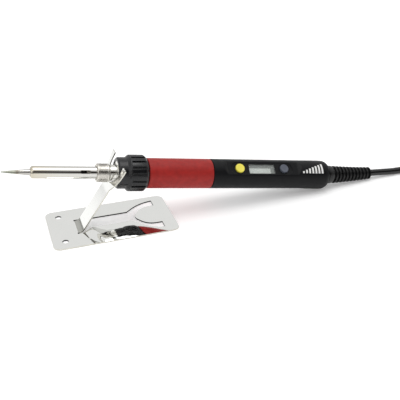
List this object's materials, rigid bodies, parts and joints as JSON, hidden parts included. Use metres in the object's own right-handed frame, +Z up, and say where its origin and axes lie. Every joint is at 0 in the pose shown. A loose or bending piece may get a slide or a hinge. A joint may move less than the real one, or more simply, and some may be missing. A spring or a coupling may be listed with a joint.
{
  "type": "soldering iron station",
  "caption": "Electric soldering iron with a display and two buttons in its handle, resting in the folded fork of a flat sheet-metal stand, with a coiled mains cord and plug.",
  "frame": {"origin": "on the bench, at the middle of the box around the stand and the iron without its cord", "axes": "+X from the tip to the cord, +Y to the back, +Z up; the iron lies over the X axis, tip up"},
  "size_m": [0.3819, 0.0701, 0.0505],
  "materials": {
    "polished_steel": "mirror-polished stainless sheet, dark sheared edges",
    "barrel_steel": "polished stainless tube",
    "nut_steel": "fine-knurled nickel plating, slightly satin",
    "socket_steel": "turned steel",
    "tip_plating": "iron plating, tinned grey at the point",
    "ceramic": "fired alumina",
    "handle_black": "fine matt glass-filled nylon",
    "grip_red": "soft matt silicone",
    "window_clear": "clear acrylic",
    "display_grey": "reflective display, blank",
    "button_yellow": "satin silicone",
    "button_slate": "satin silicone",
    "component_black": "moulded",
    "board_green": "solder resist",
    "film_orange": "epoxy dip",
    "lead_white": "glass-braid sleeving",
    "wire_blue": "PVC insulation",
    "wire_green": "PVC insulation",
    "wire_brown": "PVC insulation",
    "cord_black": "smooth PVC",
    "screw_zinc": "zinc plated",
    "tie_white": "coated wire tie",
    "pin_metal": "turned brass"
  },
  "bodies": {
    "stand": {"stand": "polished_steel"},
    "iron": {"heater_socket": "socket_steel", "heater_rod": "ceramic", "heater_insulator": "ceramic", "handle_upper": "handle_black", "handle_lower": "handle_black", "grip_sleeve": "grip_red", "lcd_window": "window_clear", "lcd_module": "display_grey", "switch_power": "component_black", "switch_set": "component_black", "microcontroller": "component_black", "triac": "component_black", "circuit_board": "board_green", "mains_capacitor": "film_orange", "heater_lead_1": "lead_white", "heater_lead_2": "lead_white", "sensor_lead_1": "wire_blue", "sensor_lead_2": "wire_blue", "earth_lead": "wire_green", "earth_core": "wire_green", "live_core": "wire_brown", "neutral_core": "wire_blue", "cord_sheath": "cord_black", "cord_clamp": "component_black", "clamp_screw_left": "screw_zinc", "clamp_screw_right": "screw_zinc", "case_screw_front": "screw_zinc", "case_screw_rear_left": "screw_zinc", "case_screw_rear_right": "screw_zinc", "strain_relief": "cord_black", "power_cord": "cord_black", "cord_coil": "cord_black", "cord_tail": "cord_black", "cord_tie": "tie_white", "plug_body": "cord_black", "plug_pin_live": "pin_metal", "plug_pin_neutral": "pin_metal", "plug_earth_clip_top": "pin_metal", "plug_earth_clip_bottom": "pin_metal"},
    "barrel": {"barrel": "barrel_steel", "tip": "tip_plating"},
    "barrel_nut": {"barrel_nut": "nut_steel"},
    "front_cap": {"front_cap": "handle_black"},
    "power_button": {"button_power": "button_yellow"},
    "set_button": {"button_set": "button_slate"}
  },
  "joints": [
    {"name": "iron_lift", "type": "slide", "parent": "stand", "child": "iron", "axis": [0, 0, 1], "range_m": [0, 0.05]},
    {"name": "barrel_pull", "type": "slide", "parent": "iron", "child": "barrel", "axis": [-0.9854, 0, 0.1702], "range_m": [0, 0.04]},
    {"name": "nut_turn", "type": "hinge", "parent": "barrel", "child": "barrel_nut", "pos_m": [-0.06666, 0, 0.0358], "axis": [-0.9854, 0, 0.1702], "range_deg": [0, 1440]},
    {"name": "front_cap_turn", "type": "hinge", "parent": "iron", "child": "front_cap", "pos_m": [-0.04892, 0, 0.03273], "axis": [-0.9854, 0, 0.1702], "range_deg": [0, 1080]},
    {"name": "button_power_press", "type": "slide", "parent": "iron", "child": "power_button", "axis": [-0.1332, 0.6225, -0.7712], "range_m": [0, 0.0006], "stiffness_N_per_m": 500, "springref_m": -0.0005},
    {"name": "button_set_press", "type": "slide", "parent": "iron", "child": "set_button", "axis": [-0.1332, 0.6225, -0.7712], "range_m": [0, 0.0006], "stiffness_N_per_m": 500, "springref_m": -0.0005}
  ]
}
